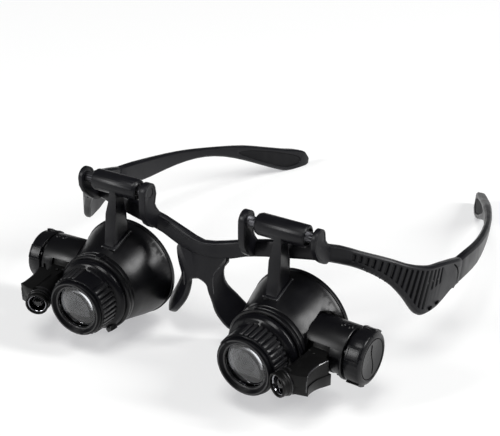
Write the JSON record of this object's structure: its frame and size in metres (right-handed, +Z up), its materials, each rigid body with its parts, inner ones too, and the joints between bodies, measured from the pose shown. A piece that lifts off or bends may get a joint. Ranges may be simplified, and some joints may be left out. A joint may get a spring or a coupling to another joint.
{
  "type": "spectacle-frame lighted magnifier",
  "caption": "Spectacle-frame magnifier: a lighted eyepiece over each eye hangs from a rod on the brow bar, flips up, slides sideways and takes a twist-on lens barrel.",
  "frame": {"origin": "centre of the footprint at table height, with the object resting on its eyecups and temple tips, eyepieces down and temples open", "axes": "+X is the wearer's left, -Y is the way the lenses look, +Z is up from the table"},
  "size_m": [0.1438, 0.1812, 0.0566],
  "materials": {
    "frame_plastic": "satin black plastic",
    "cup_plastic": "glossy black plastic",
    "barrel_plastic": "semi-gloss black plastic",
    "lamp_plastic": "satin black plastic",
    "pad_rubber": "soft black rubber",
    "rod_steel": "dark polished steel",
    "screw_steel": "plain steel",
    "lens_glass": "clear ground glass",
    "cell_steel": "bright cell cases",
    "contact_brass": "stamped contact",
    "reflector_chrome": "mirror-bright cup",
    "led_epoxy": "clear moulded dome"
  },
  "bodies": {
    "frame": {"front_frame": "frame_plastic", "temple_screw_left": "screw_steel", "temple_screw_right": "screw_steel"},
    "temple_left": {"temple_left": "frame_plastic", "temple_pad_left": "pad_rubber"},
    "rod_left": {"pivot_rod_left": "rod_steel"},
    "eyepiece_left": {"hanger_left": "frame_plastic", "eyecup_left": "cup_plastic", "battery_tube_left": "cup_plastic", "cell_contact_left": "contact_brass", "button_cells_left": "cell_steel"},
    "lens_head_left": {"lens_barrel_left": "barrel_plastic", "lens_left": "lens_glass", "lens_bezel_left": "barrel_plastic"},
    "cap_left": {"battery_cap_left": "barrel_plastic", "cap_spring_left": "screw_steel"},
    "lamp_left": {"lamp_carrier_left": "lamp_plastic", "lamp_ring_left": "lamp_plastic", "lamp_reflector_left": "reflector_chrome", "lamp_led_left": "led_epoxy"},
    "temple_right": {"temple_right": "frame_plastic", "temple_pad_right": "pad_rubber"},
    "rod_right": {"pivot_rod_right": "rod_steel"},
    "eyepiece_right": {"hanger_right": "frame_plastic", "eyecup_right": "cup_plastic", "battery_tube_right": "cup_plastic", "cell_contact_right": "contact_brass", "button_cells_right": "cell_steel"},
    "lens_head_right": {"lens_barrel_right": "barrel_plastic", "lens_right": "lens_glass", "lens_bezel_right": "barrel_plastic"},
    "cap_right": {"battery_cap_right": "barrel_plastic", "cap_spring_right": "screw_steel"},
    "lamp_right": {"lamp_carrier_right": "lamp_plastic", "lamp_ring_right": "lamp_plastic", "lamp_reflector_right": "reflector_chrome", "lamp_led_right": "led_epoxy"}
  },
  "joints": [
    {"name": "temple_fold_left", "type": "hinge", "parent": "frame", "child": "temple_left", "pos_m": [0.0662, -0.01443, 0.02536], "axis": [0, 0.2672, 0.9636], "range_deg": [0, 90]},
    {"name": "eyepiece_flip_left", "type": "hinge", "parent": "frame", "child": "rod_left", "pos_m": [0.0312, -0.06135, 0.053], "axis": [-1, 0, 0], "range_deg": [0, 100]},
    {"name": "spacing_slide_left", "type": "slide", "parent": "rod_left", "child": "eyepiece_left", "axis": [1, 0, 0], "range_m": [-0.0015, 0.0024]},
    {"name": "lens_twist_left", "type": "hinge", "parent": "eyepiece_left", "child": "lens_head_left", "pos_m": [0.03368, -0.07134, 0.018], "axis": [-0.0523, -0.9986, 0], "range_deg": [-30, 0]},
    {"name": "cap_twist_left", "type": "hinge", "parent": "eyepiece_left", "child": "cap_left", "pos_m": [0.05908, -0.06426, 0.0194], "axis": [0.9986, -0.0523, 0], "range_deg": [0, 45]},
    {"name": "lamp_swivel_left", "type": "hinge", "parent": "eyepiece_left", "child": "lamp_left", "pos_m": [0.05109, -0.06384, 0.0194], "axis": [-0.9986, 0.0523, 0], "range_deg": [-20, 10]},
    {"name": "temple_fold_right", "type": "hinge", "parent": "frame", "child": "temple_right", "pos_m": [-0.0662, -0.01443, 0.02536], "axis": [0, -0.2672, -0.9636], "range_deg": [0, 72]},
    {"name": "eyepiece_flip_right", "type": "hinge", "parent": "frame", "child": "rod_right", "pos_m": [-0.0312, -0.06135, 0.053], "axis": [-1, 0, 0], "range_deg": [0, 100]},
    {"name": "spacing_slide_right", "type": "slide", "parent": "rod_right", "child": "eyepiece_right", "axis": [1, 0, 0], "range_m": [-0.0036, 0.0004]},
    {"name": "lens_twist_right", "type": "hinge", "parent": "eyepiece_right", "child": "lens_head_right", "pos_m": [-0.03248, -0.07134, 0.018], "axis": [0.0523, -0.9986, 0], "range_deg": [0, 30]},
    {"name": "cap_twist_right", "type": "hinge", "parent": "eyepiece_right", "child": "cap_right", "pos_m": [-0.05788, -0.06426, 0.0194], "axis": [-0.9986, -0.0523, 0], "range_deg": [0, 45]},
    {"name": "lamp_swivel_right", "type": "hinge", "parent": "eyepiece_right", "child": "lamp_right", "pos_m": [-0.04989, -0.06384, 0.0194], "axis": [-0.9986, -0.0523, 0], "range_deg": [-20, 12]}
  ]
}
